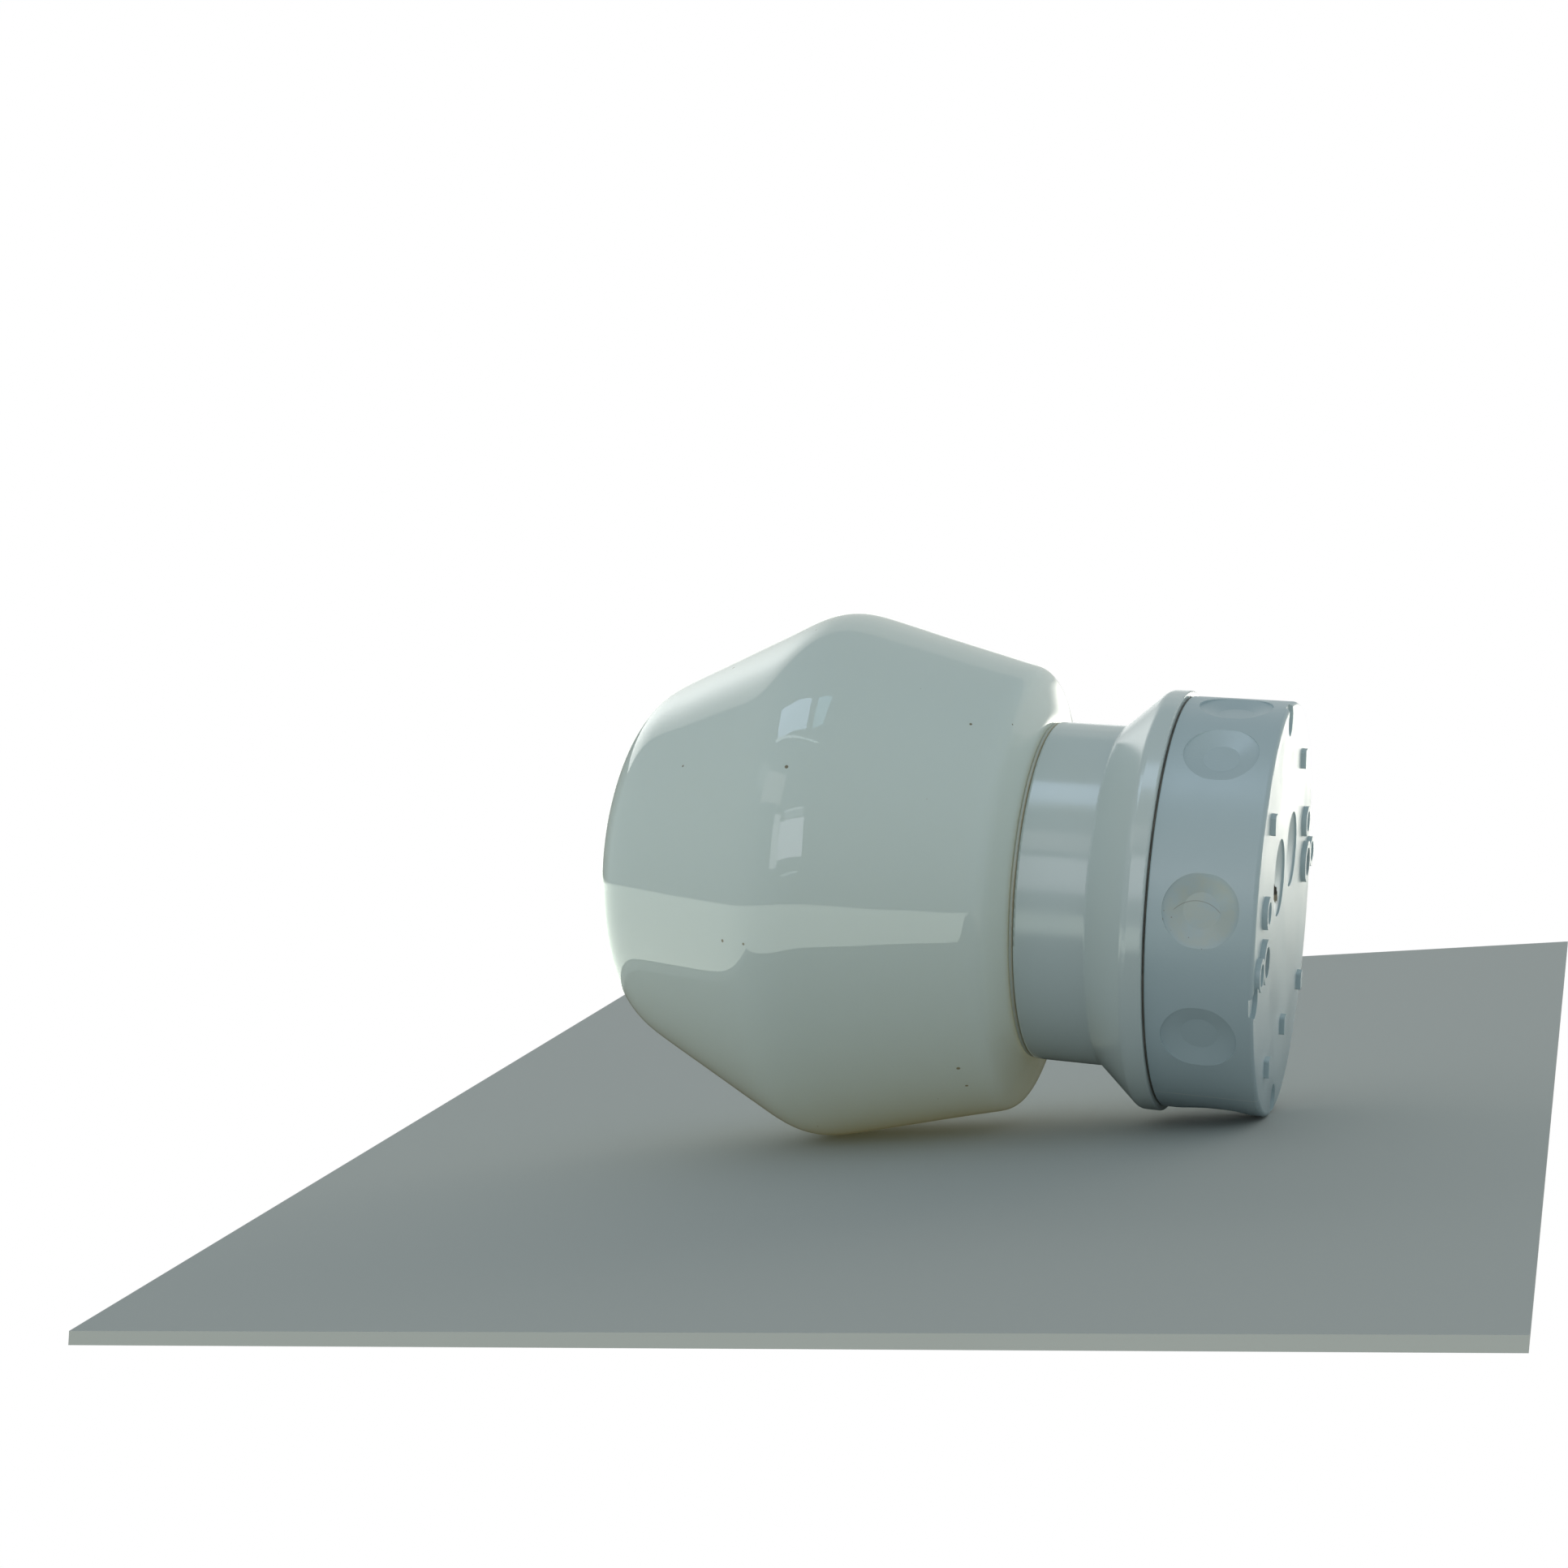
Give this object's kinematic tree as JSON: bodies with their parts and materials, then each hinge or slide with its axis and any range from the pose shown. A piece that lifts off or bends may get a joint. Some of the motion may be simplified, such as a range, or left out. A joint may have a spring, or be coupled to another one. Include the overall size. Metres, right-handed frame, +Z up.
{
  "type": "wall or ceiling light",
  "caption": "Round moulded plastic light base with an opal glass shade that screws into its collar, over a screw-in bulb.",
  "frame": {"origin": "centre of the wall fixing holes, on the wall plane that the rear lugs and rings touch", "axes": "+X out of the back into the wall, so the shade points along -X; +Z up; the base's hole pattern is rolled 17 degrees about X, as in the picture"},
  "size_m": [0.2046, 0.16, 0.16],
  "materials": {
    "box_plastic": "satin moulded, bluish off-white",
    "cover_plastic": "satin gloss, off-white",
    "dark_rubber": "matte",
    "aged_gasket": "yellowed, matte",
    "opal_glass": "glossy opal white",
    "zinc_screws": "zinc plated",
    "zinc_strap": "zinc plated sheet",
    "porcelain": "glazed",
    "brass_shell": "rolled, bright",
    "brass_contacts": "machined",
    "spring_steel": "drawn wire",
    "block_plastic": "natural",
    "lead_brown": "smooth insulation",
    "lead_blue": "smooth insulation",
    "bulb_glass": "frosted",
    "bulb_cap_metal": "rolled, bright",
    "black_glass": "glossy black",
    "solder": "soldered dome",
    "clear_glass": "clear",
    "tungsten": "fine wire"
  },
  "bodies": {
    "base": {"rear_box": "box_plastic", "cover": "cover_plastic", "cover_gasket": "dark_rubber", "cover_screws": "zinc_screws", "holder_bracket": "zinc_strap", "bracket_screws": "zinc_screws", "holder_screws": "zinc_screws", "holder_body": "porcelain", "holder_shell": "brass_shell", "contact_spring": "spring_steel", "contact_strip": "brass_contacts", "holder_terminals": "brass_contacts", "holder_terminal_screws": "brass_contacts", "terminal_body": "block_plastic", "terminal_clamps": "brass_contacts", "terminal_screws": "zinc_screws", "terminal_fixing_screw": "zinc_screws", "lead_live": "lead_brown", "lead_neutral": "lead_blue"},
    "shade_seat": {"shade_gasket": "aged_gasket"},
    "shade_glass": {"shade": "opal_glass"},
    "bulb_seat": {"bulb_contact": "solder"},
    "bulb": {"bulb_envelope": "bulb_glass", "bulb_cap": "bulb_cap_metal", "bulb_insulator": "black_glass", "bulb_stem": "clear_glass", "bulb_filament": "tungsten"},
    "plunger": {"contact_pin": "brass_contacts"}
  },
  "joints": [
    {"name": "shade_travel", "type": "slide", "parent": "base", "child": "shade_seat", "axis": [-1, 0, 0], "range_m": [0, 0.018]},
    {"name": "shade_turn", "type": "hinge", "parent": "shade_seat", "child": "shade_glass", "pos_m": [0, 0, 0], "axis": [-1, 0, 0], "range_deg": [0, 1080]},
    {"name": "bulb_travel", "type": "slide", "parent": "base", "child": "bulb_seat", "axis": [-1, 0, 0], "range_m": [0, 0.01815]},
    {"name": "bulb_turn", "type": "hinge", "parent": "bulb_seat", "child": "bulb", "pos_m": [0, 0, 0], "axis": [-1, 0, 0], "range_deg": [0, 1800]},
    {"name": "plunger_press", "type": "slide", "parent": "base", "child": "plunger", "axis": [1, 0, 0], "range_m": [0, 0.0012], "stiffness_N_per_m": 200, "springref_m": -0.001, "deforming": ["contact_spring"]}
  ],
  "couplings": [
    {"joint": "shade_travel", "follows": "shade_turn", "m_per_rad": 0.00095493},
    {"joint": "bulb_travel", "follows": "bulb_turn", "m_per_rad": 0.00057757}
  ]
}
